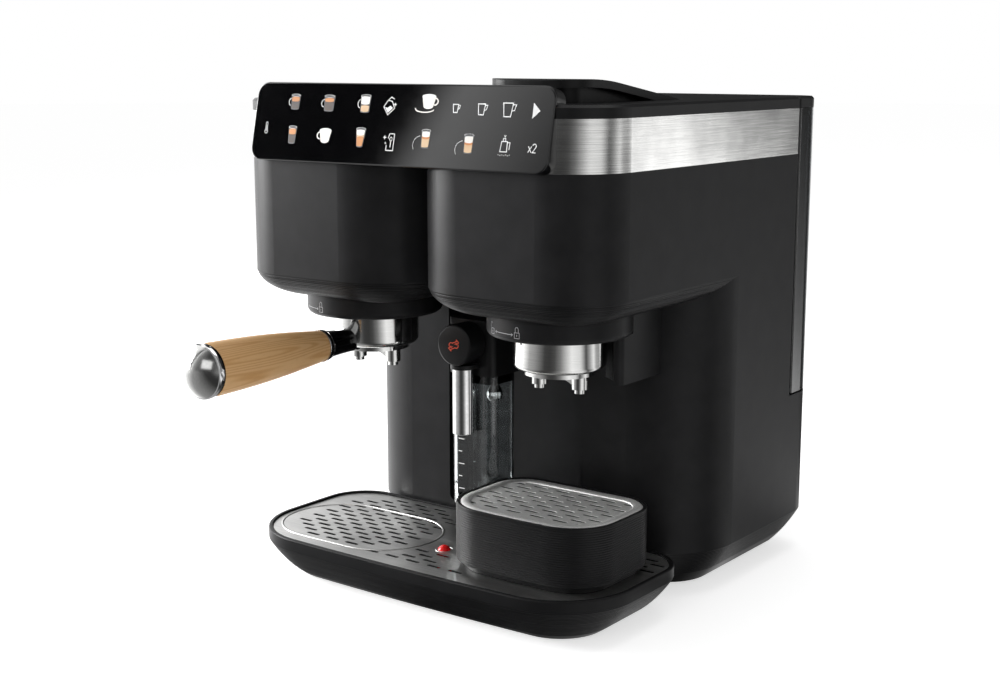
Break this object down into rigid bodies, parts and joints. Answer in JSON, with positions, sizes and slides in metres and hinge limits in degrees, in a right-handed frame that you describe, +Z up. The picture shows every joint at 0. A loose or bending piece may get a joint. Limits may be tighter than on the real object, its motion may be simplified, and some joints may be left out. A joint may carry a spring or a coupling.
{
  "type": "combined espresso and turkish coffee machine",
  "caption": "Twin-barrel espresso and Turkish coffee machine with touch panel, portafilters, milk frother, drip tray, raised cup stand and rear water tank.",
  "frame": {"origin": "middle of the underside, below the mid-plane, on the floor", "axes": "+Z up, -Y towards the user, +X to the user's right"},
  "size_m": [0.301, 0.416, 0.3554],
  "materials": {
    "matte_body": "matte charcoal",
    "black_body": "satin black",
    "touch_glass": "gloss black",
    "brushed_band": "brushed",
    "polished_steel": "polished",
    "pressed_steel": "plain",
    "cast_group": "cast",
    "oak": "oiled light wood",
    "clear_wall": "clear plastic",
    "rubber": "matte",
    "float_red": "gloss red",
    "board": "circuit board"
  },
  "bodies": {
    "machine": {"base_skirt": "matte_body", "base_plate": "black_body", "base_screws": "pressed_steel", "rubber_feet": "rubber", "column_shell": "matte_body", "recess_liner": "black_body", "guide_fin": "matte_body", "head_shell": "matte_body", "steel_band": "brushed_band", "top_cover": "matte_body", "panel_housing": "black_body", "panel_glass": "touch_glass", "control_board": "board", "lid_pin": "pressed_steel", "steam_socket": "black_body", "valve_seat": "black_body", "water_pump": "black_body", "pump_cradle": "rubber", "power_board": "board", "feed_hose": "rubber", "cord_gland": "rubber", "chin_left": "matte_body", "collar_left": "matte_body", "brew_group_left": "cast_group", "group_gasket_left": "rubber", "shower_screen_left": "pressed_steel", "chin_right": "matte_body", "collar_right": "matte_body", "brew_group_right": "cast_group", "group_gasket_right": "rubber", "shower_screen_right": "pressed_steel"},
    "portafilter_left": {"cup_left": "polished_steel", "filter_basket_left": "pressed_steel", "twin_spout_left": "polished_steel", "neck": "black_body", "grip": "oak", "grip_ring": "polished_steel", "grip_cap": "polished_steel"},
    "portafilter_right": {"cup_right": "polished_steel", "filter_basket_right": "pressed_steel", "twin_spout_right": "polished_steel"},
    "brew_lid": {"lid": "matte_body"},
    "milk_unit": {"milk_jar": "clear_wall", "milk_seal": "rubber", "milk_head": "black_body", "milk_spout": "polished_steel", "steam_tip": "pressed_steel"},
    "froth_knob": {"milk_knob": "black_body"},
    "drip_tray": {"tray_body": "matte_body"},
    "drip_plate": {"tray_plate": "brushed_band"},
    "level_float": {"tray_float": "float_red"},
    "cup_stand": {"stand_body": "black_body"},
    "cup_stand_plate": {"stand_plate": "brushed_band"},
    "tank": {"water_tank": "clear_wall", "tank_valve": "black_body"},
    "tank_cover": {"tank_lid": "matte_body"}
  },
  "joints": [
    {"name": "portafilter_left_turn", "type": "hinge", "parent": "machine", "child": "portafilter_left", "pos_m": [-0.08, -0.08, 0.18], "axis": [0, 0, 1], "range_deg": [-45, 0]},
    {"name": "portafilter_right_turn", "type": "hinge", "parent": "machine", "child": "portafilter_right", "pos_m": [0.08, -0.08, 0.18], "axis": [0, 0, 1], "range_deg": [-45, 0]},
    {"name": "brew_lid_hinge", "type": "hinge", "parent": "machine", "child": "brew_lid", "pos_m": [0.08, 0.0054, 0.3386], "axis": [-1, 0, 0], "range_deg": [0, 80]},
    {"name": "milk_unit_pull", "type": "slide", "parent": "machine", "child": "milk_unit", "axis": [0, -1, 0], "range_m": [0, 0.05]},
    {"name": "froth_knob_turn", "type": "hinge", "parent": "milk_unit", "child": "froth_knob", "pos_m": [0, -0.091, 0.1755], "axis": [0, -1, 0], "range_deg": [-45, 45]},
    {"name": "drip_tray_pull", "type": "slide", "parent": "machine", "child": "drip_tray", "axis": [0, -1, 0], "range_m": [0, 0.14]},
    {"name": "drip_plate_lift", "type": "slide", "parent": "drip_tray", "child": "drip_plate", "axis": [0, 0, 1], "range_m": [0, 0.0035]},
    {"name": "float_rise", "type": "slide", "parent": "drip_tray", "child": "level_float", "axis": [0, 0, 1], "range_m": [0, 0.005]},
    {"name": "cup_stand_lift", "type": "slide", "parent": "drip_plate", "child": "cup_stand", "axis": [0, 0, 1], "range_m": [0, 0.06]},
    {"name": "cup_stand_plate_lift", "type": "slide", "parent": "cup_stand", "child": "cup_stand_plate", "axis": [0, 0, 1], "range_m": [0, 0.008]},
    {"name": "tank_lift", "type": "slide", "parent": "machine", "child": "tank", "axis": [0, 0, 1], "range_m": [0, 0.22]},
    {"name": "tank_cover_lift", "type": "slide", "parent": "tank", "child": "tank_cover", "axis": [0, 0, 1], "range_m": [0, 0.03]}
  ]
}
